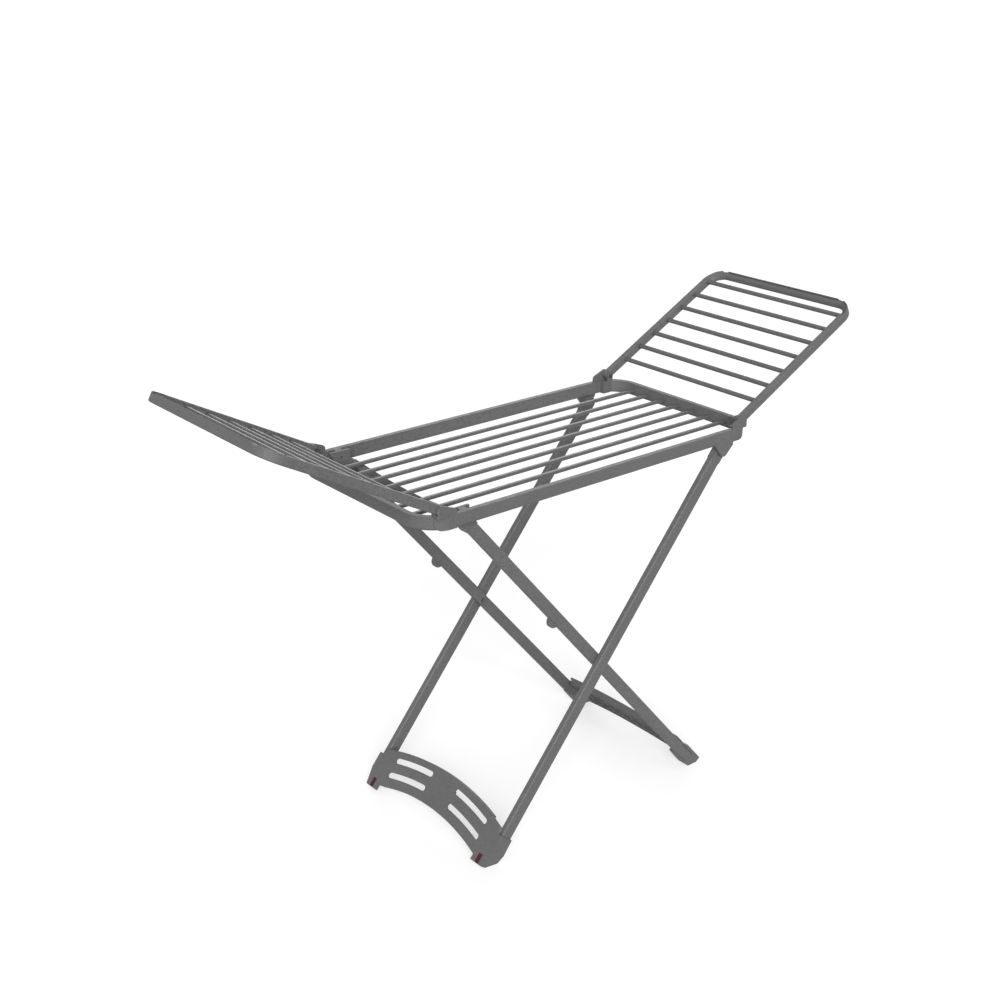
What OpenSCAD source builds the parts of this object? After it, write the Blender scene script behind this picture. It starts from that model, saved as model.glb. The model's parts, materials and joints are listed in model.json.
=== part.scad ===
// Folding clothes drying rack: a centre frame of long rods, two folding wings and scissor legs.
// X runs along the rack, Y across it, Z up. The origin is on the floor under the middle.

/* [Centre frame] */
// Length of the centre frame over its two ends
frame_len = 1125; // [1080:1:1200]
// Width over the side rails
rack_w = 550; // [520:1:620]
// Height of the frame's top face above the floor
frame_top = 1034; // [980:1:1080]
// Height of a frame rail
rail_h = 35; // [32:0.5:38]
// Thickness of a frame rail
rail_t = 14; // [12:0.5:15]
// Outer corner radius of the frame seen from above
frame_corner = 85; // [70:1:88]
// Radius along the lower outer edge of the frame
edge_r = 7; // [4:0.5:9]
// Length of an end moulding along a side rail
end_len = 162; // [155:1:200]
// Wall of the hollow profiles
wall = 1.8; // [1.2:0.1:2.4]

/* [Hanging rods] */
// Diameter of a hanging rod
rod_d = 9.6; // [7:0.1:11]
// Wall of a tubular hanging rod
rod_wall = 0.6; // [0.4:0.1:1.2]
// Clear width between the outermost centre rod's axis and the leg caps
rod_margin = 38; // [30:1:60]
// Depth of the centre rods' axes below the frame's top face
rod_drop = 19; // [14:0.5:22]
// Distance from a wing's hinge to its first rod
wing_first_rod = 77.5; // [60:0.5:100]
// Distance from a wing's last rod to its outer end
wing_last_rod = 52; // [45:0.5:60]
// Depth of a rod's end in its socket
rod_seat = 7; // [4:0.5:9]

/* [Wings] */
// Gap between the ends of the two folded wings
wing_gap = 2; // [2:1:80]
// Height of a wing rail
wing_h = 24; // [20:0.5:26]
// Thickness of a wing rail
wing_t = 16; // [14:0.5:18]
// Outer corner radius of a wing
wing_corner = 58; // [50:1:70]
// Angle of an open wing above the horizontal
wing_tilt = 28; // [15:1:35]
// Distance of the wing hinges from the frame's ends
hinge_inset = 46.5; // [44:0.5:52]
// Height of the wing hinges above the frame's top face
hinge_rise = 15.8; // [15:0.1:20]
// Thickness of a hinge cheek
cheek_t = 6.7; // [5:0.1:8]
// Thickness of the lip along a wing's outer end
lip_t = 3; // [2:0.5:4]
// Height of that lip above the wing
lip_h = 13; // [6:0.5:14]

/* [Legs] */
// Depth of an outer leg along the rack
outer_leg_d = 36; // [30:0.5:37]
// Thickness of an outer leg across the rack
outer_leg_t = 18; // [15:0.5:20]
// Depth of an inner leg along the rack
inner_leg_d = 32; // [26:0.5:34]
// Thickness of an inner leg across the rack
inner_leg_t = 15; // [12:0.5:17]
// Radius along a leg's edges
leg_edge = 4; // [3:0.5:5]
// Distance of the outer legs' feet from the middle
outer_foot_x = 357; // [330:1:380]
// Distance of the inner legs' feet from the middle
inner_foot_x = 433; // [400:1:460]
// Distance of the frame's fold pivot from the frame's end
pivot_inset = 121.5; // [115:0.5:130]
// Depth of the frame's fold pivot below the frame
pivot_drop = 19.5; // [19.5:0.5:22]
// Thickness of the pivot lobes beside the outer legs
lobe_t = 8.7; // [7:0.1:10]
// Distance of the catch studs from the frame's end
stud_inset = 120.5; // [115:0.5:128]
// Gap between an inner and an outer leg
leg_gap = 1; // [0.8:0.1:1.5]
// Distance of the clips on the inner legs from the floor, along the leg
clip_at = 853; // [700:1:1000]

/* [Leg tops] */
// Thickness of an inner leg's cap beyond the leg
cap_extra = 17; // [14:1:24]
// Radius of the bent cross bar's upper edge
bar_r = 443; // [420:1:600]
// Height of the bent cross bar
bar_h = 35; // [28:0.5:40]
// Thickness of the bent cross bar
bar_t = 18; // [12:0.5:18]
// Distance of the bar's lowest upper edge below the catch studs, along the leg
bar_drop = 74; // [70:0.5:90]

/* [Feet] */
// Height of a foot bridge's crown along the leg
bridge_crown = 146; // [135:1:160]
// Width of the arched band
bridge_band = 105; // [100:1:112]
// Outer radius of the arched band
bridge_r = 795; // [760:5:900]
// Width of the curved slots
slot_w = 13; // [8:0.5:16]
// Length of the curved slots
slot_len = 152; // [100:1:155]
// Distance of the upper slots' middle line from the band's upper edge
slot_upper = 26; // [22:0.5:30]
// Distance of the lower slots' middle line from the band's upper edge
slot_lower = 72; // [66:0.5:76]
// Height of a shoe along the leg
block_top = 88; // [80:1:110]
// Depth of the ribs behind an arched band
rib_deep = 14; // [6:1:18]
// Radius of a foot's heel
heel_r = 8; // [4:0.5:10]
// Thickness of a bridge's face plate
plate_t = 6; // [5:0.5:6]
// Distance of a bridge's face from the leg's middle plane
bridge_face = 25; // [25:0.5:30]

/* [Pins] */
// Diameter of the pivot pins
pin_d = 8; // [6:0.5:9]
// Diameter of the catch studs
stud_d = 10; // [8:0.5:12]
// Running clearance of the pins, on the radius
run_gap = 0.08; // [0.04:0.01:0.1]
// Clearance between parts that move past each other
side_gap = 0.3; // [0.2:0.1:0.5]

/* [Hidden] */
$fn = 64;
arc_fn = 360;
eps = 0.01;
half_l = frame_len / 2;
half_w = rack_w / 2;
frame_bottom = frame_top - rail_h;
rail_in = half_w - rail_t;
rod_z = frame_top - rod_drop;
socket_r = rod_d / 2 + 0.05;
bore_r = pin_d / 2 + run_gap;
head_r = pin_d / 2 + 4;
head_t = 2.5;
bush_r = pin_d / 2 + 3;
spigot = 26;

hinge_x = half_l - hinge_inset;
hinge_z = frame_top + hinge_rise;
wing_y = half_w - cheek_t - side_gap;
wing_in = wing_y - wing_t;
wing_len = hinge_x - wing_gap / 2;
wing_end_at = wing_len - wing_corner - 25;
wing_arm = 40;
ear_r = wing_h / 2 + 1;
inner_ear_r = pin_d / 2 + 4;
lip_from = 18;
lip_to = 54;
tail_len = 44;
ear_bulge = 12;
skirt_bulge = 2;

pivot_x = half_l - pivot_inset;
pivot_z = frame_bottom - pivot_drop;
outer_y = half_w - lobe_t - side_gap;
outer_in = outer_y - outer_leg_t;
inner_y = outer_in - leg_gap;
inner_in = inner_y - inner_leg_t;
stud_x = half_l - stud_inset;
stud_z = frame_top - 18;
stud_len = 9;
angle_a = atan2(pivot_z, pivot_x + outer_foot_x);
angle_b = atan2(stud_z, stud_x + inner_foot_x);
len_a = norm([pivot_x + outer_foot_x, pivot_z]);
len_b = norm([stud_x + inner_foot_x, stud_z]);
cross_a = (outer_foot_x + inner_foot_x) / (cos(angle_a) + sin(angle_a) / tan(angle_b));
cross_b = cross_a * sin(angle_a) / sin(angle_b);
leg_foot = 33;
knuckle_len = 34;
cap_in = inner_in - cap_extra;
cap_low = len_b - 62;
cap_half = inner_leg_d / 2 + 1.5;
cap_clear = 16;
tongue_t = 7;
stud_wall = 1.6;

centre_rods = 7;
wing_rods = 7;
centre_pitch = 2 * (cap_in - rod_margin) / (centre_rods - 1);
wing_pitch = (wing_len - wing_last_rod - wing_first_rod) / (wing_rods - 1);

// ---------- helpers ----------

// Point at a radius and angle round a centre
function polar(c, r, a) = c + r * [cos(a), sin(a)];

// Outline round two circles, its straight sides their outer tangents
module belt(c1, r1, c2, r2) {
    along = atan2(c2[1] - c1[1], c2[0] - c1[0]);
    lean = acos((r1 - r2) / norm(c2 - c1));
    translate(c1) circle(r1);
    translate(c2) circle(r2);
    polygon([
        polar(c1, r1, along + lean), polar(c2, r2, along + lean),
        polar(c2, r2, along - lean), polar(c1, r1, along - lean)
    ]);
}

// Centred rectangle with four rounded corners
module rounded(w, h, r) {
    square([w, h - 2 * r], center = true);
    square([w - 2 * r, h], center = true);
    for (x = [-1, 1], y = [-1, 1])
        translate([x * (w / 2 - r), y * (h / 2 - r)]) circle(r);
}

// The front copy of a piece that is drawn at the rear, and both copies
module front() {
    mirror([0, 1, 0]) children();
}

module each_side() {
    children();
    front() children();
}

// The left copy of what is drawn at the right
module left() {
    mirror([1, 0, 0]) children();
}

// An outline of X and Z, extruded from y0 to y1
module slab(y0, y1) {
    translate([0, y1, 0]) rotate([90, 0, 0]) linear_extrude(y1 - y0) children();
}

// An outline of Y (first) and X (second), extruded from z0 to z1
module plate(z0, z1) {
    translate([0, 0, z0]) mirror([1, -1, 0]) linear_extrude(z1 - z0) children();
}

// An outline of Y and Z, extruded from x0 to x1
module along_x(x0, x1) {
    translate([x0, 0, 0]) rotate([90, 0, 90]) linear_extrude(x1 - x0) children();
}

// A round pin across the rack from y0 to y1
module pin_y(x, z, r, y0, y1) {
    translate([x, y1, z]) rotate([90, 0, 0]) cylinder(r = r, h = y1 - y0);
}

// Local frames of the legs: X runs up the leg from the floor, Z to the side its foot plate faces
module outer_leg_frame() {
    translate([-outer_foot_x, 0, 0]) rotate([0, -angle_a, 0]) children();
}

module inner_leg_frame() {
    translate([inner_foot_x, 0, 0]) mirror([1, 0, 0]) rotate([0, -angle_b, 0]) children();
}

// Local frame of an open right wing: X runs out from its hinge
module wing_frame() {
    translate([hinge_x, 0, hinge_z]) rotate([0, -wing_tilt, 0]) children();
}

// ---------- legs ----------

// Rounded leg section between y0 and y1, less a margin all round
module leg_section(y0, y1, depth, margin) {
    translate([(y0 + y1) / 2, 0])
        rounded(y1 - y0 - 2 * margin, depth - 2 * margin, leg_edge - margin);
}

module leg_tube(t0, t1, y0, y1, depth) {
    along_x(t0, t1) difference() {
        leg_section(y0, y1, depth, 0);
        leg_section(y0, y1, depth, wall);
    }
}

module outer_leg() {
    color("dimgray") outer_leg_frame() difference() {
        leg_tube(leg_foot, len_a - knuckle_len, outer_in, outer_y, outer_leg_d);
        pin_y(cross_a, 0, bush_r, outer_in - 1, outer_y - outer_leg_t / 2);
    }
}

// Rounded eye on top of an outer leg, with its spigot in the profile
module outer_leg_knuckle() {
    color("dimgray") outer_leg_frame() difference() {
        union() {
            slab(outer_in, outer_y) union() {
                translate([len_a, 0]) circle(outer_leg_d / 2);
                translate([len_a - knuckle_len, -outer_leg_d / 2]) square([knuckle_len, outer_leg_d]);
            }
            along_x(len_a - knuckle_len - spigot, len_a - knuckle_len + 1)
                leg_section(outer_in, outer_y, outer_leg_d, wall);
        }
        pin_y(len_a, 0, bore_r, outer_in - 1, outer_y + 1);
        pin_y(len_a, 0, head_r + side_gap, outer_in - 1, outer_in + head_t);
    }
}

// Bush that holds the crossing pin inside the hollow outer leg
module outer_leg_bush() {
    color("gray") outer_leg_frame() difference() {
        pin_y(cross_a, 0, bush_r, outer_in, outer_y - wall);
        pin_y(cross_a, 0, pin_d / 2, outer_in - 1, outer_y - wall - 1);
    }
}

// Headed pin of the leg crossing, fast in the outer leg and free in the inner one
module crossing_pin() {
    color("silver") outer_leg_frame() {
        pin_y(cross_a, 0, pin_d / 2, inner_in - side_gap - eps, outer_y - wall - 1);
        pin_y(cross_a, 0, head_r, inner_in - side_gap - head_t, inner_in - side_gap);
    }
}

module crossing_washer() {
    color("black") outer_leg_frame() difference() {
        pin_y(cross_a, 0, head_r + 2, inner_y + side_gap, outer_in);
        pin_y(cross_a, 0, pin_d / 2, inner_y, outer_in + 1);
    }
}

module inner_leg() {
    color("dimgray") inner_leg_frame() difference() {
        leg_tube(leg_foot, cap_low, inner_in, inner_y, inner_leg_d);
        pin_y(cross_b, 0, bush_r, inner_in - 1, inner_y + 1);
    }
}

module inner_leg_bush() {
    color("gray") inner_leg_frame() difference() {
        pin_y(cross_b, 0, bush_r, inner_in, inner_y);
        pin_y(cross_b, 0, bore_r, inner_in - 1, inner_y + 1);
    }
}

// ---------- tops of the inner legs ----------

// Side outline of a cap: a sleeve along the leg under a level head
module cap_outline() {
    head_left = stud_x + 33;
    head_right = stud_x - 28;
    head_low = stud_z - 12;
    reach = 2 * (len_b - cap_low);
    intersection() {
        translate([inner_foot_x, 0]) rotate(180 - angle_b)
            translate([cap_low, -cap_half]) square([reach, 2 * cap_half]);
        translate([-head_left, 0]) square([head_left, frame_top]);
    }
    intersection() {
        translate([inner_foot_x, 0]) rotate(180 - angle_b)
            translate([cap_low, -2 * reach]) square([reach, 2 * reach]);
        translate([-head_left, head_low]) square([head_left - head_right, frame_top - head_low]);
    }
}

// Outline of the block under the head, along the leg: its top corners are rounded
module cap_block_outline() {
    corner = 6;
    length = len_b - cap_clear - cap_low;
    translate([cap_low, -cap_half]) square([length - corner, 2 * cap_half]);
    translate([cap_low, corner - cap_half]) square([length, 2 * (cap_half - corner)]);
    for (side = [-1, 1])
        translate([cap_low + length - corner, side * (cap_half - corner)]) circle(corner);
}

// Cap of an inner leg: a block for the cross bar's end under a thin tongue with the hollow stud
module inner_leg_cap() {
    color("dimgray") difference() {
        union() {
            inner_leg_frame() slab(cap_in, inner_y) cap_block_outline();
            slab(inner_y - tongue_t, inner_y) cap_outline();
            inner_leg_frame() along_x(cap_low - spigot, cap_low + 1)
                leg_section(inner_in, inner_y, inner_leg_d, wall);
            pin_y(-stud_x, stud_z, stud_d / 2, inner_y - 1, inner_y + stud_len);
        }
        pin_y(-stud_x, stud_z, stud_d / 2 - stud_wall, inner_y - tongue_t - 1, inner_y + stud_len - 2);
    }
}

// Slender bar between the caps, bent down under the rods
module inner_top_bar() {
    centre_t = len_b - bar_drop + bar_r;
    color("dimgray") inner_leg_frame() plate(0, bar_t) intersection() {
        difference() {
            translate([0, centre_t]) circle(bar_r + bar_h, $fn = arc_fn);
            translate([0, centre_t]) circle(bar_r, $fn = arc_fn);
        }
        translate([-cap_in, centre_t - bar_r - 2 * bar_h]) square([2 * cap_in, bar_r]);
    }
}

// Round clip standing off the inner leg's lower side
module leg_clip() {
    clip_r = 20;
    clip_out = 10;
    color("dimgray") inner_leg_frame() difference() {
        slab(inner_in + 3, inner_y - 2) translate([clip_at, -clip_out]) circle(clip_r);
        slab(inner_in, inner_y) translate([clip_at - 40, -inner_leg_d / 2]) square([80, 80]);
    }
}

// ---------- feet ----------

block_in = inner_in - 20;
block_out = outer_y + 3.5;
block_chamfer = 12.5;
toe_z = 10;
sole_front = 8;
pad_in = block_in + 17;
pad_size = 14;
slot_end = block_in - 10.5;
skin = 1.2;
rim_t = 3;
slot_step = 0.1;
rib_step = 3.6;

// Arched band with four curved slots
module arch_outline(reach) {
    centre = [0, bridge_crown - bridge_r];
    difference() {
        intersection() {
            difference() {
                translate(centre) circle(bridge_r, $fn = arc_fn);
                translate(centre) circle(bridge_r - bridge_band, $fn = arc_fn);
            }
            translate([-reach, -60]) square([2 * reach, bridge_crown + 61]);
        }
        for (r = [bridge_r - slot_upper, bridge_r - slot_lower], side = [-1, 1]) {
            half = asin((slot_len - slot_w) / 2 / r);
            translate(centre) rotate(-side * asin((slot_end - slot_len / 2) / r)) {
                arc_sector(r - slot_w / 2, r + slot_w / 2, 90 - half, 90 + half);
                for (e = [-1, 1])
                    translate(polar([0, 0], r, 90 + e * half)) circle(slot_w / 2 - slot_step);
            }
        }
    }
}

// Part of a ring between two radii and two angles
module arc_sector(r0, r1, from, to) {
    intersection() {
        difference() {
            circle(r1, $fn = arc_fn);
            circle(r0, $fn = arc_fn);
        }
        polygon([[0, 0], polar([0, 0], 2 * r1, to), polar([0, 0], 2 * r1, from)]);
    }
}

// Pockets between the ribs behind an arched band
module rib_pockets() {
    upper = bridge_r - slot_upper;
    lower = bridge_r - slot_lower;
    beside = slot_w / 2 + rim_t;
    rib = asin(rim_t / 2 / bridge_r);
    translate([0, bridge_crown - bridge_r]) {
        for (k = [-4 : 3]) {
            from = 90 + k * rib_step + rib;
            to = 90 + (k + 1) * rib_step - rib;
            arc_sector(upper + beside, bridge_r - rim_t, from, to);
            arc_sector(lower + beside, upper - beside, from, to);
            arc_sector(bridge_r - bridge_band + rim_t, lower - beside, from, to);
        }
        for (r = [upper, lower]) {
            half = asin((slot_end - slot_len - rim_t) / r);
            arc_sector(r - slot_w / 2, r + slot_w / 2, 90 - half, 90 + half);
        }
    }
}

// Arched bridge: face plate with rims, ribs and slot walls behind it
module arched_bridge(reach, rib_reach) {
    face = bridge_face - plate_t;
    plate(face, bridge_face) arch_outline(reach);
    plate(face - rib_deep, face) difference() {
        arch_outline(rib_reach);
        rib_pockets();
    }
}

// Front outline of one foot block, its outer edge drawn in towards the floor
module block_outline(y0, y1, chamfer) {
    polygon([
        [y0, -30], [y1 - chamfer, -30], [y1 - chamfer, -8], [y1, 42], [y1, block_top], [y0, block_top]
    ]);
}

// Side outline of a foot: level sole under the leg, rounded heel, raised toe in front
module foot_side(angle, back) {
    heel = [(heel_r + (back - heel_r) * cos(angle)) / sin(angle), heel_r - back];
    polygon(concat(
        [[2 * block_top, -back]],
        [for (k = [0 : 3]) polar(heel, heel_r, 270 - angle * k / 3)],
        [[-sole_front / tan(angle), sole_front]],
        [[(toe_z - bridge_face * cos(angle)) / sin(angle), bridge_face], [2 * block_top, bridge_face]]
    ));
}

// Side outline of a shoe round a leg: it runs in to the leg at its top
module shoe_side(depth, back, front_taper) {
    polygon([
        [-60, -back], [block_top / 2, -back], [block_top, -depth / 2 - skin],
        [block_top, bridge_face - front_taper], [block_top - 2 * front_taper - 1, bridge_face],
        [-60, bridge_face]
    ]);
}

// Notch for the foot pad in the toe
module pad_outline() {
    translate([pad_in, -30]) square([pad_size, 50]);
}

// Sockets of the legs and notches of the pads in a foot bridge
module foot_cuts(y0, y1, depth) {
    each_side() {
        slab(y0, y1) translate([leg_foot, -depth / 2]) square([2 * block_top, depth]);
        plate(bridge_face - plate_t - 1, bridge_face + 1) pad_outline();
    }
}

module outer_foot_bridge() {
    back = outer_leg_d / 2 + 3;
    color("dimgray") outer_leg_frame() difference() {
        intersection() {
            union() {
                arched_bridge(half_w - 20, block_in - 8);
                each_side() {
                    intersection() {
                        plate(-back, bridge_face) block_outline(outer_in, block_out, block_chamfer);
                        slab(outer_in - 1, half_w) shoe_side(outer_leg_d, back, 0);
                    }
                    plate(bridge_face - plate_t, bridge_face) block_outline(block_in, outer_in + 1, 0);
                }
            }
            slab(-half_w - 1, half_w + 1) foot_side(angle_a, back);
        }
        foot_cuts(outer_in - 1, outer_y, outer_leg_d);
    }
}

module inner_foot_bridge() {
    back = inner_leg_d / 2 + 2.4;
    color("dimgray") inner_leg_frame() difference() {
        intersection() {
            union() {
                arched_bridge(inner_y - 20, block_in + 1);
                each_side() intersection() {
                    plate(-back, bridge_face) block_outline(block_in, inner_y, 0);
                    slab(block_in - 1, inner_y + 1) shoe_side(inner_leg_d, back, 6);
                }
            }
            slab(-half_w - 1, half_w + 1) foot_side(angle_b, back);
        }
        foot_cuts(inner_in, inner_y + 1, inner_leg_d);
    }
}

// Rubber pad in the toe of a foot, a little behind its face
module foot_pad(angle) {
    face = bridge_face - plate_t;
    color("maroon") intersection() {
        plate(face, bridge_face - 0.6) pad_outline();
        slab(0, half_w) foot_side(angle, outer_leg_d / 2);
    }
}

module outer_foot_pad() {
    outer_leg_frame() foot_pad(angle_a);
}

module inner_foot_pad() {
    inner_leg_frame() foot_pad(angle_b);
}

// ---------- centre frame ----------

// Rail section: inner face at zero, outer face at rail_t, top at zero, outer lower edge rounded
module rail_section(margin) {
    w = rail_t - 2 * margin;
    h = rail_h - 2 * margin;
    r = edge_r - margin;
    translate([margin, -margin - h]) {
        translate([0, r]) square([w, h - r]);
        square([w - r, h]);
        translate([w - r, r]) circle(r);
    }
}

module side_rail() {
    reach = half_l - end_len;
    color("dimgray") translate([0, rail_in, frame_top]) along_x(-reach, reach) difference() {
        rail_section(0);
        rail_section(wall);
    }
}

module frame_socket_holes() {
    for (i = [0 : centre_rods - 1])
        translate([half_l - rail_t - 1, (i - (centre_rods - 1) / 2) * centre_pitch, rod_z])
            rotate([0, 90, 0]) cylinder(r = socket_r, h = rod_seat + 1);
}

// One side of an end moulding: the stub on the side rail and the corner
module end_corner() {
    reach = half_l - end_len;
    translate([0, rail_in, frame_top]) along_x(reach, half_l - frame_corner) rail_section(0);
    translate([0, rail_in, frame_top]) along_x(reach - spigot, reach + 1) rail_section(wall);
    translate([half_l - frame_corner, half_w - frame_corner, frame_top])
        rotate_extrude(angle = 90, $fn = arc_fn)
        translate([frame_corner - rail_t, 0]) rail_section(0);
}

module end_bar() {
    reach = half_w - frame_corner;
    translate([half_l - rail_t, reach, frame_top]) rotate([90, 0, 0])
        linear_extrude(2 * reach) rail_section(0);
}

// Side outline of a hinge's outer cheek: an ear for the pin and a tail along the frame
module cheek_outline() {
    back = hinge_x - tail_len;
    tip = hinge_x + ear_r;
    nose = 16;
    belt([hinge_x, hinge_z], ear_r, [back + 10, frame_top + 6], 10);
    translate([back, frame_bottom]) square([tip - back - nose, rail_h + 6]);
    translate([back, frame_bottom + nose]) square([tip - back, rail_h - 10]);
    translate([tip - nose, frame_bottom + nose]) circle(nose);
}

// Hinge block at a corner: two cheeks with a slot between them and a stop for the open wing
module hinge_block() {
    slot_in = wing_in - side_gap;
    slot_out = wing_y + side_gap;
    inner_cheek = slot_in - cheek_t;
    front_part = 26;
    intersection() {
        union() {
            slab(slot_out, half_w) cheek_outline();
            slab(inner_cheek, half_w) intersection() {
                cheek_outline();
                translate([hinge_x - front_part, frame_bottom - 1])
                    square([2 * front_part, rail_h + 1]);
            }
            slab(inner_cheek, slot_in)
                belt([hinge_x, hinge_z], inner_ear_r, [hinge_x, frame_top - 12], inner_ear_r + 2);
            slab(slot_in - 1, slot_out + 1) intersection() {
                translate([hinge_x + 7, frame_top - 2]) square([ear_r - 7, 30]);
                translate([hinge_x, hinge_z]) rotate(wing_tilt)
                    translate([-40, -wing_h / 2 - side_gap - 60]) square([80, 60]);
            }
        }
        translate([half_l - frame_corner, half_w - frame_corner, frame_bottom - 1]) {
            cylinder(r = frame_corner + skirt_bulge, h = rail_h - 1, $fn = arc_fn);
            translate([0, 0, rail_h - 2]) cylinder(r = frame_corner + ear_bulge, h = 60, $fn = arc_fn);
        }
    }
}

module hinge_bore() {
    pin_y(hinge_x, hinge_z, pin_d / 2, 0, half_w - 2);
}

// Lobe beside an outer leg's top, hanging from the moulding's stub
module pivot_lobe() {
    lobe_r = pivot_drop - 3.5;
    slab(outer_y + side_gap, half_w) {
        translate([pivot_x, pivot_z]) circle(lobe_r);
        polygon([
            [pivot_x - 37, frame_bottom + edge_r + 4], [pivot_x - 33, frame_bottom - 2],
            polar([pivot_x, pivot_z], lobe_r, 200), polar([pivot_x, pivot_z], lobe_r, 305),
            [pivot_x + 35, frame_bottom - 8], [pivot_x + 35, frame_bottom + edge_r + 4]
        ]);
    }
}

// Catch over an inner leg's stud, open below
module stud_catch() {
    out = rail_in + 1;
    slab(inner_y + 1.5, out) difference() {
        translate([stud_x - stud_d, frame_bottom + 2]) square([2 * stud_d, rail_h - 2]);
        translate([stud_x, stud_z]) circle(stud_d / 2 + side_gap);
        translate([stud_x - stud_d / 2 - side_gap, frame_bottom])
            square([stud_d + 2 * side_gap, stud_z - frame_bottom]);
    }
}

module end_moulding_right() {
    color("dimgray") difference() {
        union() {
            end_bar();
            each_side() {
                end_corner();
                hinge_block();
                pivot_lobe();
            }
        }
        each_side() {
            hinge_bore();
            pin_y(pivot_x, pivot_z, pin_d / 2, 0, half_w - 2);
        }
        frame_socket_holes();
    }
}

module end_moulding_left() {
    color("dimgray") left() difference() {
        union() {
            end_bar();
            each_side() {
                end_corner();
                hinge_block();
                stud_catch();
            }
        }
        each_side() hinge_bore();
        frame_socket_holes();
    }
}

// Headed pin of the frame's fold pivot, its head sunk in the leg's inner side
module fold_pivot_pin() {
    color("silver") {
        pin_y(pivot_x, pivot_z, pin_d / 2, outer_in + side_gap, half_w - 2);
        pin_y(pivot_x, pivot_z, head_r, outer_in + side_gap, outer_in + head_t);
    }
}

module centre_rod(i) {
    reach = half_l - rail_t + rod_seat;
    color("gray") translate([-reach, (i - (centre_rods + 1) / 2) * centre_pitch, rod_z])
        rotate([0, 90, 0]) difference() {
            cylinder(d = rod_d, h = 2 * reach);
            translate([0, 0, -1]) cylinder(d = rod_d - 2 * rod_wall, h = 2 * reach + 2);
        }
}

// ---------- wings ----------

module wing_section(margin) {
    translate([wing_t / 2, 0]) rounded(wing_t - 2 * margin, wing_h - 2 * margin, 3 - margin / 2);
}

module wing_rod_holes() {
    for (i = [1 : wing_rods])
        pin_y(wing_first_rod + (i - 1) * wing_pitch, 0, socket_r, 0, wing_in + rod_seat);
}

// Side rail of a wing with its hinge eye
module wing_rail() {
    color("dimgray") wing_frame() difference() {
        union() {
            translate([0, wing_in, 0]) along_x(wing_arm, wing_end_at) difference() {
                wing_section(0);
                wing_section(wall);
            }
            translate([0, wing_in, 0]) along_x(0, wing_arm + eps) wing_section(0);
            slab(wing_in, wing_y) circle(wing_h / 2);
        }
        wing_rod_holes();
        pin_y(0, 0, bore_r, wing_in - 1, wing_y + 1);
    }
}

// One side of a wing's outer end: the stub on the rail and the corner
module wing_end_corner() {
    translate([0, wing_in, 0]) along_x(wing_end_at, wing_len - wing_corner) wing_section(0);
    translate([0, wing_in, 0]) along_x(wing_end_at - spigot, wing_end_at + 1) wing_section(wall);
    translate([wing_len - wing_corner, wing_y - wing_corner, 0])
        rotate_extrude(angle = 90, $fn = arc_fn)
        translate([wing_corner - wing_t, 0]) wing_section(0);
}

// Thin lip on top of a wing's outer end, open for a notch beside each corner
module wing_lip() {
    inset = 0.6;
    base = wing_h / 2 - 4;
    reach = wing_y - wing_corner - 3;
    translate([wing_len - inset - lip_t, -reach, base]) cube([lip_t, 2 * reach, lip_h + 4]);
    each_side() translate([wing_len - wing_corner, wing_y - wing_corner, 0])
        rotate([0, 0, lip_from]) rotate_extrude(angle = lip_to - lip_from, $fn = arc_fn)
        translate([wing_corner - inset - lip_t, base]) square([lip_t, lip_h + 4]);
}

// Outer end of a wing: its two corners, the end bar and its lip
module wing_end() {
    reach = wing_y - wing_corner;
    color("dimgray") wing_frame() difference() {
        union() {
            each_side() wing_end_corner();
            translate([wing_len - wing_t, reach, 0]) rotate([90, 0, 0])
                linear_extrude(2 * reach) wing_section(0);
            wing_lip();
        }
        each_side() wing_rod_holes();
    }
}

module wing_rod(i) {
    reach = wing_in + rod_seat;
    along = wing_first_rod + (i - 1) * wing_pitch;
    color("gray") wing_frame() difference() {
        pin_y(along, 0, rod_d / 2, -reach, reach);
        pin_y(along, 0, rod_d / 2 - rod_wall, -reach - 1, reach + 1);
    }
}

module hinge_pin() {
    head_y = wing_in - side_gap - cheek_t;
    color("silver") {
        pin_y(hinge_x, hinge_z, pin_d / 2, head_y - eps, half_w - 2);
        pin_y(hinge_x, hinge_z, inner_ear_r - 1.5, head_y - head_t, head_y);
    }
}

// ---------- nodes ----------

front() outer_leg();  // outer_leg_front
outer_leg();  // outer_leg_rear
each_side() outer_leg_knuckle();  // outer_leg_knuckles
each_side() outer_leg_bush();  // outer_leg_bushes
outer_foot_bridge();
each_side() outer_foot_pad();  // outer_foot_pads
each_side() crossing_pin();  // crossing_pins
each_side() crossing_washer();  // crossing_washers
front() inner_leg();  // inner_leg_front
inner_leg();  // inner_leg_rear
front() inner_leg_cap();  // inner_leg_cap_front
inner_leg_cap();  // inner_leg_cap_rear
each_side() inner_leg_bush();  // inner_leg_bushes
inner_top_bar();
inner_foot_bridge();
each_side() inner_foot_pad();  // inner_foot_pads
each_side() leg_clip();  // leg_clips
front() side_rail();  // side_rail_front
side_rail();  // side_rail_rear
end_moulding_left();
end_moulding_right();
each_side() fold_pivot_pin();  // fold_pivot_pins
for (i = [1 : centre_rods])
    centre_rod(i);
left() front() wing_rail();  // left_wing_rail_front
left() wing_rail();  // left_wing_rail_rear
left() wing_end();  // left_wing_end
left() each_side() hinge_pin();  // left_hinge_pins
front() wing_rail();  // right_wing_rail_front
wing_rail();  // right_wing_rail_rear
wing_end();  // right_wing_end
each_side() hinge_pin();  // right_hinge_pins
for (i = [1 : wing_rods]) {
    left() wing_rod(i);
    wing_rod(i);
}
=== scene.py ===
"""Looks of a folding clothes drying rack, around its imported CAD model.

Lengths are in metres. X runs from the left wing to the right one, Y from the near side to the far
side, and Z up.
"""
import json
import math

import bmesh
import bpy
from mathutils import Matrix, Vector


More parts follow.
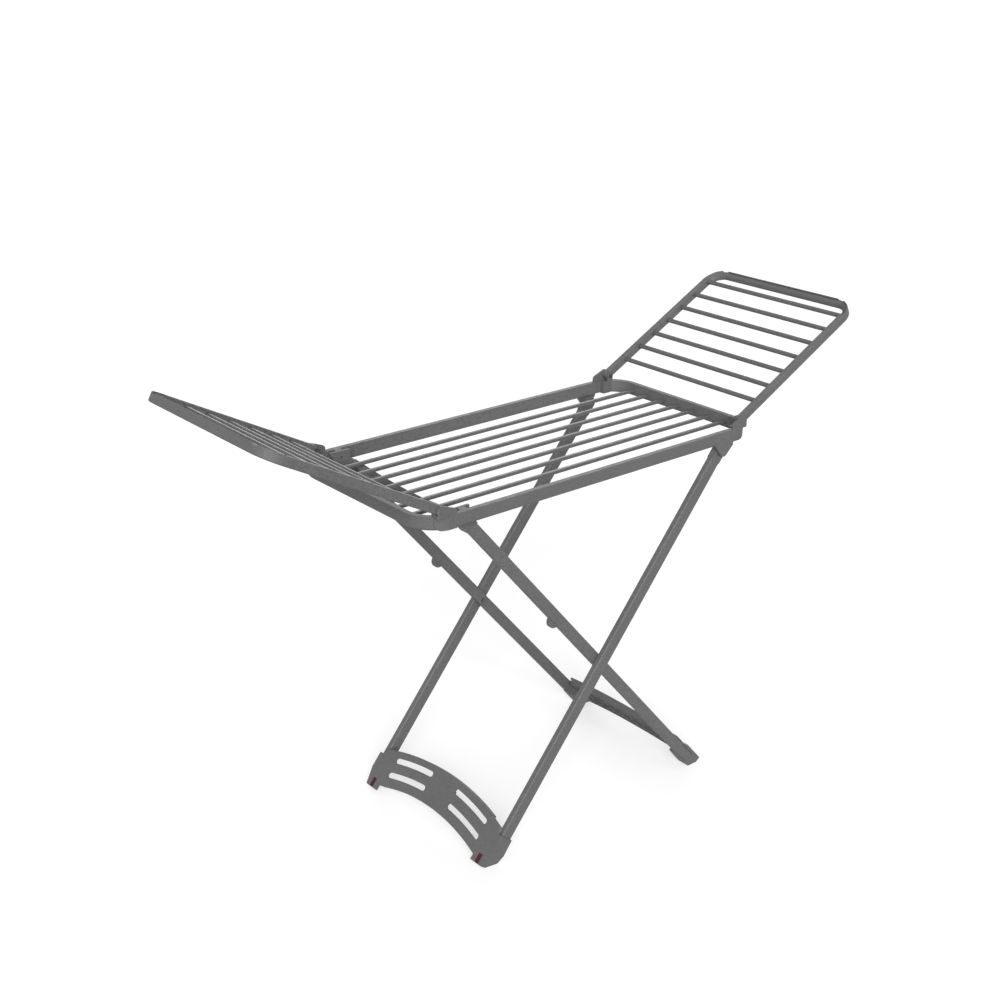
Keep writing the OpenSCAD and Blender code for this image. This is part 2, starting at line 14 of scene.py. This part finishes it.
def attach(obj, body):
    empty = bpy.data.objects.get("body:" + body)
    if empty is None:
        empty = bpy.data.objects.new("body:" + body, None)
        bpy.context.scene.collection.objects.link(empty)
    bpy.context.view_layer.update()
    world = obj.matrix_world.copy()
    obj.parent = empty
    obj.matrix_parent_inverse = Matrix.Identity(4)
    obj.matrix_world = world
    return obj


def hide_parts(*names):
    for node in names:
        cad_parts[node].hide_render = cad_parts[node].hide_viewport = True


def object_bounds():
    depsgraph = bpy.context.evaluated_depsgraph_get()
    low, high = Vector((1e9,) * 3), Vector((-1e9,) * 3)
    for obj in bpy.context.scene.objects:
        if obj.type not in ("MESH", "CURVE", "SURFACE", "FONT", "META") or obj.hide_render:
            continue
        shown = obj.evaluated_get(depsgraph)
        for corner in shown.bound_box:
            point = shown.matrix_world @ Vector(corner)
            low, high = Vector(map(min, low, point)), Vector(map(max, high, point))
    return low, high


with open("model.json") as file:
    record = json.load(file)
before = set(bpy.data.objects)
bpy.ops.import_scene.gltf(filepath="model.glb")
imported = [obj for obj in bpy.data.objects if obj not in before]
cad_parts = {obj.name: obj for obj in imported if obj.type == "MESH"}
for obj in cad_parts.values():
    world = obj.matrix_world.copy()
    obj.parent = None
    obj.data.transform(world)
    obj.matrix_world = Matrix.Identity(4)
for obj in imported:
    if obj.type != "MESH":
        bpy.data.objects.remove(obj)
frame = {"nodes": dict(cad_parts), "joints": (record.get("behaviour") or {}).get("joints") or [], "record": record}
nodes = frame["nodes"]
cad_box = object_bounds()


def new_object(name, data):
    """An object on this data, in the scene."""
    made = bpy.data.objects.new(name, data)
    bpy.context.scene.collection.objects.link(made)
    return made


# ---------- camera, at the photograph's viewing angle ----------

VIEW_TURN = math.radians(40.206)  # from +Y towards +X
VIEW_DOWN = math.radians(21.949)
VIEW_ROLL = math.radians(0.58)
EYE = Vector((-2.4888, -2.8126, 2.3750))
LENS_MM = 54.68
SENSOR_MM = 36.0


def view_axes(turn, down, roll):
    """The camera's right, up and forward directions."""
    level = math.cos(down)
    forward = Vector((math.sin(turn) * level, math.cos(turn) * level, -math.sin(down)))
    right = Vector((math.cos(turn), -math.sin(turn), 0))
    up = right.cross(forward)
    return (
        right * math.cos(roll) + up * math.sin(roll),
        up * math.cos(roll) - right * math.sin(roll),
        forward,
    )


def make_camera():
    data = bpy.data.cameras.new("camera")
    data.lens = LENS_MM
    data.sensor_width = SENSOR_MM
    camera = new_object("camera", data)
    right, up, forward = view_axes(VIEW_TURN, VIEW_DOWN, VIEW_ROLL)
    turn = Matrix((right, up, -forward)).transposed().to_4x4()
    camera.matrix_world = Matrix.Translation(EYE) @ turn
    bpy.context.scene.camera = camera


make_camera()

# ---------- materials ----------

MIX_FACTOR, MIX_FIRST, MIX_SECOND = 0, 6, 7  # inputs of a Mix node for colours
MIX_COLOUR = 2  # its output
NOISE_RANGE = (0.3, 0.7)  # most of a noise texture's values
FLECK_RANGE = (0.4, 0.68)  # the values of the noise that flecks fade in over
FLECK_STRENGTH = 0.75
BEVEL_SAMPLES = 4
# Edges painted brighter: partly a rubbed coat, partly a painted highlight.
WORN_AND_HIGHLIT_COSINE = 0.7  # cosine between rounded and flat normal where an edge counts as fully brightened
WORN_AND_HIGHLIT_SHARE = 0.35
WORN_AND_HIGHLIGHT_SHADE = 1.3


class Nodes:
    """A material's node tree, with short calls for adding and linking nodes."""

    def __init__(self, name, **constants):
        self.material = bpy.data.materials.new(name)
        self.material.use_nodes = True
        self.tree = self.material.node_tree
        self.shader = self.tree.nodes["Principled BSDF"]
        for key, value in constants.items():
            self.shader.inputs[key.replace("_", " ")].default_value = value
        self.place = self.add("ShaderNodeTexCoord").outputs["Object"]

    def add(self, kind, **settings):
        node = self.tree.nodes.new(kind)
        for key, value in settings.items():
            setattr(node, key, value)
        return node

    def link(self, source, target):
        self.tree.links.new(source, target)

    def stretched(self, scale):
        """Object coordinates, multiplied per axis."""
        mapping = self.add("ShaderNodeMapping")
        mapping.inputs["Scale"].default_value = scale
        self.link(self.place, mapping.inputs["Vector"])
        return mapping.outputs["Vector"]

    def noise(self, scale, detail, roughness=0.5, vector=None):
        node = self.add("ShaderNodeTexNoise")
        node.inputs["Scale"].default_value = scale
        node.inputs["Detail"].default_value = detail
        node.inputs["Roughness"].default_value = roughness
        self.link(vector or self.place, node.inputs["Vector"])
        return node.outputs["Fac"]

    def grain(self, scale):
        """Fine cells, as of an eroded mould face or a powder coat."""
        node = self.add("ShaderNodeTexVoronoi", feature="SMOOTH_F1")
        node.inputs["Scale"].default_value = scale
        self.link(self.place, node.inputs["Vector"])
        return node.outputs["Distance"]

    def spread(self, source, low, high, start=0.0, end=1.0):
        """source mapped from start..end to low..high."""
        node = self.add("ShaderNodeMapRange")
        limits = {"From Min": start, "From Max": end, "To Min": low, "To Max": high}
        for key, value in limits.items():
            node.inputs[key].default_value = value
        self.link(source, node.inputs["Value"])
        return node.outputs["Result"]

    def mottled(self, noise, low=0, high=1):
        """Noise that fills the whole of low..high."""
        return self.spread(noise, low, high, *NOISE_RANGE)

    def blend(self, factor, first, second):
        """Colour between two colours."""
        node = self.add("ShaderNodeMix", data_type="RGBA")
        for index, value in ((MIX_FIRST, first), (MIX_SECOND, second)):
            if isinstance(value, tuple):
                node.inputs[index].default_value = (*value, 1)
            else:
                self.link(value, node.inputs[index])
        self.link(factor, node.inputs[MIX_FACTOR])
        return node.outputs[MIX_COLOUR]

    def flecked(self, scale, body, fleck):
        """body with the small darker flecks of a textured surface."""
        flecks = self.noise(scale, detail=1.5, roughness=0.6)
        return self.blend(self.spread(flecks, 0, FLECK_STRENGTH, *FLECK_RANGE), body, fleck)

    def edges(self, radius):
        """Normal rounded at sharp edges, and how far it is from the face's own normal."""
        bevel = self.add("ShaderNodeBevel", samples=BEVEL_SAMPLES)
        bevel.inputs["Radius"].default_value = radius
        face = self.add("ShaderNodeNewGeometry")
        dot = self.add("ShaderNodeVectorMath", operation="DOT_PRODUCT")
        self.link(bevel.outputs["Normal"], dot.inputs[0])
        self.link(face.outputs["Normal"], dot.inputs[1])
        return bevel.outputs["Normal"], self.spread(dot.outputs["Value"], 1, 0, WORN_AND_HIGHLIT_COSINE, 1)

    def worn_and_highlit(self, edge, body, colour):
        """body, slightly brighter at edges: partly a rubbed coat, partly a painted highlight."""
        return self.blend(self.spread(edge, 0, WORN_AND_HIGHLIT_SHARE), body, shade(colour, WORN_AND_HIGHLIGHT_SHADE))

    def bump(self, height, strength, distance, normal):
        node = self.add("ShaderNodeBump")
        node.inputs["Strength"].default_value = strength
        node.inputs["Distance"].default_value = distance
        self.link(height, node.inputs["Height"])
        self.link(normal, node.inputs["Normal"])
        return node.outputs["Normal"]

    def finish(self, colour, roughness=None, normal=None):
        for key, source in (("Base Color", colour), ("Roughness", roughness), ("Normal", normal)):
            if source:
                self.link(source, self.shader.inputs[key])
        return self.material


def shade(colour, factor):
    return tuple(channel * factor for channel in colour)


def coated_metal(name, colour, peel_scale, peel_depth, roughness):
    """Coated metal: fine orange peel, dark flecks, faint clouds, and brighter edges of wear and painted highlight.
    """
    m = Nodes(name, Specular_IOR_Level=0.28)
    normal, edge = m.edges(radius=0.0007)
    clouds = m.mottled(m.noise(scale=9, detail=4))
    body = m.blend(clouds, shade(colour, 0.95), shade(colour, 1.05))
    body = m.flecked(scale=240, body=body, fleck=shade(colour, 0.6))
    rough = m.mottled(m.noise(scale=60, detail=3), roughness - 0.05, roughness + 0.05)
    peel = m.bump(m.grain(peel_scale), strength=0.35, distance=peel_depth, normal=normal)
    # Brighter edges: partly a rubbed coat, partly a painted highlight.
    return m.finish(m.worn_and_highlit(edge, body, colour), rough, peel)


def moulded(name, colour, roughness):
    """Moulded plastic with an eroded grain, dark flecks and faint flow marks."""
    m = Nodes(name, Specular_IOR_Level=0.26)
    normal, edge = m.edges(radius=0.0009)
    flow = m.mottled(m.noise(scale=14, detail=3, vector=m.stretched((1, 0.35, 1))))
    body = m.blend(flow, shade(colour, 0.94), shade(colour, 1.05))
    body = m.flecked(scale=300, body=body, fleck=shade(colour, 0.68))
    rough = m.mottled(m.noise(scale=120, detail=4), roughness - 0.06, roughness + 0.06)
    dust = m.noise(scale=1400, detail=2)
    fine = m.bump(dust, strength=0.3, distance=0.0002, normal=normal)
    coarse = m.bump(m.grain(scale=520), strength=0.25, distance=0.0003, normal=fine)
    # Edges painted slightly brighter: partly rubbed plastic, partly a painted highlight.
    return m.finish(m.worn_and_highlit(edge, body, colour), rough, coarse)


def rubber(name, colour):
    """Matt rubber, smoother where its edges are rubbed."""
    m = Nodes(name, Specular_IOR_Level=0.3)
    normal, edge = m.edges(radius=0.0012)
    clouds = m.mottled(m.noise(scale=90, detail=5))
    tone = m.blend(clouds, shade(colour, 0.8), shade(colour, 1.15))
    rough = m.spread(edge, 0.75, 0.55)
    grain = m.noise(scale=700, detail=3)
    return m.finish(tone, rough, m.bump(grain, strength=0.4, distance=0.0004, normal=normal))


def drawn_steel(name, colour):
    """Bare steel with fine lines along Y, the axis of every pin."""
    m = Nodes(name, Metallic=1.0)
    normal, _ = m.edges(radius=0.0004)
    lines = m.noise(scale=60, detail=5, vector=m.stretched((40, 1, 40)))
    tone = m.blend(lines, shade(colour, 0.85), shade(colour, 1.1))
    rough = m.spread(lines, 0.28, 0.48)
    return m.finish(tone, rough, m.bump(lines, strength=0.15, distance=0.0001, normal=normal))


ANTHRACITE = (0.127, 0.127, 0.129)
BLACK = (0.02, 0.02, 0.021)
DARK_RED = (0.055, 0.009, 0.016)
DARK_STEEL = (0.13, 0.13, 0.135)
BY_SLOT = {
    "frame_paint": coated_metal(
        "rail_coat", ANTHRACITE, peel_scale=1500, peel_depth=0.00022, roughness=0.52
    ),
    "rod_coating": coated_metal(
        "rod_coat", shade(ANTHRACITE, 0.82), peel_scale=900, peel_depth=0.00012, roughness=0.42
    ),
    "moulded_plastic": moulded("anthracite_plastic", shade(ANTHRACITE, 0.98), roughness=0.55),
    "black_plastic": moulded("black_plastic", BLACK, roughness=0.5),
    "foot_rubber": rubber("red_rubber", DARK_RED),
    "pin_steel": drawn_steel("dark_steel", DARK_STEEL),
}
for part in frame["record"]["subparts"]:
    mesh = nodes[part["node"]].data
    mesh.materials.clear()
    mesh.materials.append(BY_SLOT[part["material_slot"]])

# ---------- shapes for the pieces that stand in for CAD nodes ----------

ARC_STEPS = 24
SMOOTH_BELOW = math.radians(28)  # edges that bend more are sharp
SEAM = 1e-6  # gap between the CAD mesh's faces
SLIVER = 0.0002  # width of what a boolean leaves by mistake
PAST = 0.001  # how far a cutter runs past the face that it cuts
JOINTS = {joint["name"]: joint for joint in frame["joints"]}
SIDES = {"left": -1, "right": 1}


def local_frame(origin, angle, side):
    """A frame in the XZ plane: out runs away from the origin at an angle above the floor."""
    out = Vector((side * math.cos(angle), 0, math.sin(angle)))
    across = Vector((0, 1, 0))
    up = Vector((-side * math.sin(angle), 0, math.cos(angle)))
    turn = Matrix((out, across, up)).transposed().to_4x4()
    return Matrix.Translation(origin) @ turn


def wing_frame(side):
    """An open wing's frame, with its origin on the hinge."""
    joint = JOINTS[f"{side}_wing_fold"]
    tilt = math.pi - math.radians(joint["range_deg"][1])
    return local_frame(Vector(joint["pos_m"]), tilt, SIDES[side])


def on_arc(centre, radius, degrees):
    """Point of out and across on an arc, its angle counted from out."""
    angle = math.radians(degrees)
    return centre[0] + radius * math.cos(angle), centre[1] + radius * math.sin(angle)


def arc(centre, radius, start, end):
    """Points on an arc, from one angle in degrees to the other."""
    for step in range(ARC_STEPS + 1):
        yield on_arc(centre, radius, start + (end - start) * step / ARC_STEPS)


def curved_strip(centre, outer, inner, first, last):
    """Outline between two radii, with straight ends."""
    return [*arc(centre, outer, first, last), *arc(centre, inner, last, first)]


def curved_slot(centre, radius, width, first, last):
    """Outline along an arc, with round ends beyond its two angles."""
    half = width / 2
    first_end = [*arc(on_arc(centre, radius, first), half, first - 180, first)]
    last_end = [*arc(on_arc(centre, radius, last), half, last, last + 180)]
    return [
        *arc(centre, radius + half, first, last),
        *last_end[1:-1],
        *arc(centre, radius - half, last, first),
        *first_end[1:-1],
    ]


def prism(bm, outline, low, high, place):
    """Closed prism on an outline of out and across, between two levels."""
    rings = [
        [bm.verts.new(place @ Vector((x, y, level))) for x, y in outline] for level in (low, high)
    ]
    faces = [bm.faces.new(ring) for ring in rings]
    for i in range(len(outline)):
        j = (i + 1) % len(outline)
        faces.append(bm.faces.new((rings[0][i], rings[0][j], rings[1][j], rings[1][i])))
    bmesh.ops.recalc_face_normals(bm, faces=faces)


def mesh_from(name, bm):
    mesh = bpy.data.meshes.new(name)
    bm.to_mesh(mesh)
    bm.free()
    return mesh


def close_seams(mesh):
    """Joins the faces of a CAD mesh into one surface."""
    bm = bmesh.new()
    bm.from_mesh(mesh)
    bmesh.ops.remove_doubles(bm, verts=bm.verts, dist=SEAM)
    bm.to_mesh(mesh)
    bm.free()


def remove_slivers(mesh):
    """Triangles without the slivers that a boolean leaves, which would be stray faces."""
    bm = bmesh.new()
    bm.from_mesh(mesh)
    bmesh.ops.remove_doubles(bm, verts=bm.verts, dist=SLIVER)
    bmesh.ops.dissolve_degenerate(bm, edges=bm.edges, dist=SLIVER)
    bmesh.ops.triangulate(bm, faces=bm.faces)
    bmesh.ops.dissolve_degenerate(bm, edges=bm.edges, dist=SLIVER)
    bm.to_mesh(mesh)
    bm.free()


def apply_modifiers(piece):
    shown = piece.evaluated_get(bpy.context.evaluated_depsgraph_get())
    mesh = bpy.data.meshes.new_from_object(shown)
    piece.modifiers.clear()
    piece.data = mesh


def smooth(mesh):
    mesh.shade_smooth()
    mesh.set_sharp_from_angle(angle=SMOOTH_BELOW)


def stand_in(piece, body, node, slot):
    """Shows a piece in a CAD node's place, in the material of its slot."""
    piece.data.materials.clear()
    piece.data.materials.append(BY_SLOT[slot])
    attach(piece, body)
    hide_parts(node)


def recut(node, body, name, cutters):
    """A copy of a moulded CAD node with cutters taken off it, shown in the node's place."""
    piece = new_object(name, nodes[node].data.copy())
    close_seams(piece.data)
    tools = []
    for cutter in cutters:
        tool = new_object("cutter", mesh_from("cutter", cutter))
        step = piece.modifiers.new("cut", "BOOLEAN")
        step.operation = "DIFFERENCE"
        step.solver = "EXACT"
        step.object = tool
        tools.append(tool)
    apply_modifiers(piece)
    for tool in tools:
        bpy.data.objects.remove(tool)
    remove_slivers(piece.data)
    smooth(piece.data)
    flatten = piece.modifiers.new("flat_faces", "WEIGHTED_NORMAL")
    flatten.keep_sharp = True
    apply_modifiers(piece)
    piece.data.name = name
    stand_in(piece, body, node, "moulded_plastic")


# ---------- outer ends of the wings ----------

WING_CORNER = 0.058  # outer radius, seen from above
WING_THICK = 0.016
RIM_THICK = 0.0032
LEDGE_DROP = 0.0065  # from the rim's top to the ledge inside it
NOTCH_DEPTH = 0.005
NOTCH_FROM, NOTCH_TO = -1.5, 18  # degrees round a corner, from the end towards the side
CLEAR_RIM, CLEAR_LIP = 1.5, 4  # tops of the cutters, in heights of the rim


def wing_end(side):
    """A wing's outer end: an upright rim with two notches, round a lower inner ledge."""
    place = wing_frame(side)
    corners = [place.inverted() @ v.co for v in nodes[f"{side}_wing_end"].data.vertices]
    tip = max(corner.x for corner in corners)
    half = max(corner.y for corner in corners)
    top = -min(corner.z for corner in corners)
    far_bend = (tip - WING_CORNER, half - WING_CORNER)
    near_bend = (far_bend[0], -far_bend[1])

    def round_the_end(gap):
        """Path from side to side, a gap inside the outer face."""
        radius = WING_CORNER - gap
        return [*arc(far_bend, radius, 90, 0), *arc(near_bend, radius, 0, -90)]

    lip, ledge, notches = (bmesh.new() for _ in range(3))
    edge = 2 * half
    whole = [(0, -edge), (edge, -edge), (edge, edge), (0, edge)]
    prism(lip, whole, top, CLEAR_LIP * top, place)
    inside = round_the_end(RIM_THICK) + round_the_end(WING_THICK + PAST)[::-1]
    prism(ledge, inside, top - LEDGE_DROP, CLEAR_RIM * top, place)
    for sign, bend in ((1, far_bend), (-1, near_bend)):
        notch = curved_strip(
            bend,
            WING_CORNER + PAST,
            WING_CORNER - RIM_THICK - PAST,
            sign * NOTCH_FROM,
            sign * NOTCH_TO,
        )
        prism(notches, notch, top - NOTCH_DEPTH, CLEAR_RIM * top, place)
    name = f"{side}_wing_end_moulding"
    recut(f"{side}_wing_end", f"{side}_wing", name, [lip, ledge, notches])


for side in SIDES:
    wing_end(side)

# ---------- outer foot bridge ----------

BAND_TOP = 0.146  # the band's outer edge above the floor, measured along the legs
BAND_RADIUS = 0.795  # that edge's radius
BAND_FACE = 0.025  # its front face, out from the middle of the legs
BAND_PLATE = 0.006  # thickness of the plate behind that face
SLOT_OFFSETS = (0.026, 0.072)  # the CAD slots' middle lines, from the outer edge
CAD_SLOT_WIDTH = 0.013
SLOT_LENGTH = 0.152
SLOT_END = 0.2015  # a slot's outer end, from the middle of the band
SLOT_WIDTH = 0.0156  # width shown
SLOT_SHIFTS = (-0.0012, 0.0015)  # growth of the middle lines' radii
SLOT_CLEAR = 0.0080  # what is cut off ribs and walls round a CAD slot, behind the plate


def outer_bridge():
    """The outer foot bridge: wider slots, with the ribs and walls behind them cut back."""
    joint = JOINTS["frame_fold"]
    angle = math.radians(joint["range_deg"][1])
    pivot = Vector(joint["pos_m"])
    foot = Vector((pivot.x - pivot.z / math.tan(angle), 0, 0))
    place = local_frame(foot, angle, SIDES["right"])
    centre = (BAND_TOP - BAND_RADIUS, 0)
    back = BAND_FACE - BAND_PLATE
    reach = CAD_SLOT_WIDTH / 2 + SLOT_CLEAR
    pockets, slots = bmesh.new(), bmesh.new()
    for offset, shift in zip(SLOT_OFFSETS, SLOT_SHIFTS):
        radius = BAND_RADIUS - offset
        turn = math.degrees(math.asin((SLOT_END - SLOT_LENGTH / 2) / radius))
        half = math.degrees(math.asin((SLOT_LENGTH / 2 + SLOT_CLEAR) / radius))
        slot_radius = radius + shift
        slot_half = math.degrees(math.asin((SLOT_LENGTH - SLOT_WIDTH) / 2 / slot_radius))
        for middle in (-turn, turn):
            pocket = curved_strip(
                centre, radius + reach, radius - reach, middle - half, middle + half
            )
            prism(pockets, pocket, 0, back, place)
            slot = curved_slot(
                centre, slot_radius, SLOT_WIDTH, middle - slot_half, middle + slot_half
            )
            prism(slots, slot, back - PAST, BAND_FACE + 2 * PAST, place)
    recut("outer_foot_bridge", "outer_legs", "outer_foot_bridge_moulding", [pockets, slots])


outer_bridge()

# ---------- hanging rods ----------

BAR_WIDE = 0.0145
BAR_THICK = 0.0088
ROD_COUNT = 7  # in the frame, and in each wing


def flat_bar(node, body, wide, axis):
    """A hanging rod as a bar of flat oval section: wide lies in the plane of the rods."""
    corners = [v.co for v in nodes[node].data.vertices]
    low, high = (Vector([pick(c[i] for c in corners) for i in range(3)]) for pick in (min, max))
    middle = (low + high) / 2
    reach = max((corner - middle).dot(axis) for corner in corners)
    turn = Matrix((wide, axis.cross(wide), axis)).transposed().to_4x4()
    radius = BAR_THICK / 2
    apart = (BAR_WIDE - BAR_THICK) / 2
    outline = [*arc((apart, 0), radius, -90, 90), *arc((-apart, 0), radius, 90, 270)]
    bm = bmesh.new()
    prism(bm, outline, -reach, reach, Matrix.Translation(middle) @ turn)
    name = node.replace("rod", "bar")
    piece = new_object(name, mesh_from(name, bm))
    smooth(piece.data)
    stand_in(piece, body, node, "rod_coating")


for number in range(1, ROD_COUNT + 1):
    flat_bar(f"centre_rod_{number}", "centre_frame", Vector((0, 1, 0)), Vector((1, 0, 0)))
    for side in SIDES:
        along_wing = wing_frame(side).col[0].xyz
        flat_bar(f"{side}_wing_rod_{number}", f"{side}_wing", along_wing, Vector((0, 1, 0)))

# ---------- stage and light ----------

WHITE = (1, 1, 1, 1)
FLOOR_SIZE = 60
FLOOR_SEEN = 0.58  # its tone and glow to the camera, in mirrors and through glass
FLOOR_GLOW = 0.5
FLOOR_BOUNCE = 0.28  # its tone to the light that it throws back
WORLD_SEEN = 1.0
WORLD_LEVEL = 0.43  # strength of the light that the world gives


def seen_mask(tree):
    """1 for the rays that show the background: camera, glossy and transmission."""
    rays = tree.nodes.new("ShaderNodeLightPath")
    total = rays.outputs["Is Camera Ray"]
    for key in ("Is Glossy Ray", "Is Transmission Ray"):
        larger = tree.nodes.new("ShaderNodeMath")
        larger.operation = "MAXIMUM"
        tree.links.new(total, larger.inputs[0])
        tree.links.new(rays.outputs[key], larger.inputs[1])
        total = larger.outputs["Value"]
    return total


def stage_material():
    """White floor to the camera, with its shadow, and a duller one to the light it throws back."""
    m = Nodes("studio_floor", Roughness=0.95, Specular_IOR_Level=0.0)
    seen = seen_mask(m.tree)
    m.shader.inputs["Emission Color"].default_value = WHITE
    m.link(m.spread(seen, 0, FLOOR_GLOW), m.shader.inputs["Emission Strength"])
    return m.finish(m.blend(seen, (FLOOR_BOUNCE,) * 3, (FLOOR_SEEN,) * 3))


def make_stage():
    bpy.ops.mesh.primitive_plane_add(size=FLOOR_SIZE, location=(0, 0, cad_box[0][2]))
    floor = bpy.context.object
    floor.name = "studio_floor"
    floor.data.materials.append(stage_material())


def make_world():
    """White background, and a plain sky that lights less than it shows."""
    world = bpy.data.worlds.new("studio")
    bpy.context.scene.world = world
    world.use_nodes = True
    tree = world.node_tree
    sky = tree.nodes["Background"]
    level = tree.nodes.new("ShaderNodeMapRange")
    level.inputs["To Min"].default_value = WORLD_LEVEL
    level.inputs["To Max"].default_value = WORLD_SEEN
    tree.links.new(seen_mask(tree), level.inputs["Value"])
    tree.links.new(level.outputs["Result"], sky.inputs["Strength"])
    sky.inputs["Color"].default_value = WHITE


def soft_light(name, towards, degrees_wide, strength):
    """A wide parallel light, the same over the whole object and floor."""
    data = bpy.data.lights.new(name, "SUN")
    data.angle = math.radians(degrees_wide)
    data.energy = strength
    light = new_object(name, data)
    light.rotation_euler = Vector(towards).to_track_quat("-Z", "Y").to_euler()


make_stage()
make_world()
soft_light("key", towards=(0.55, 0.73, -0.40), degrees_wide=36, strength=3.5)
soft_light("fill", towards=(-0.70, -0.66, -0.28), degrees_wide=45, strength=1.1)

bpy.context.scene.view_settings.view_transform = "Standard"
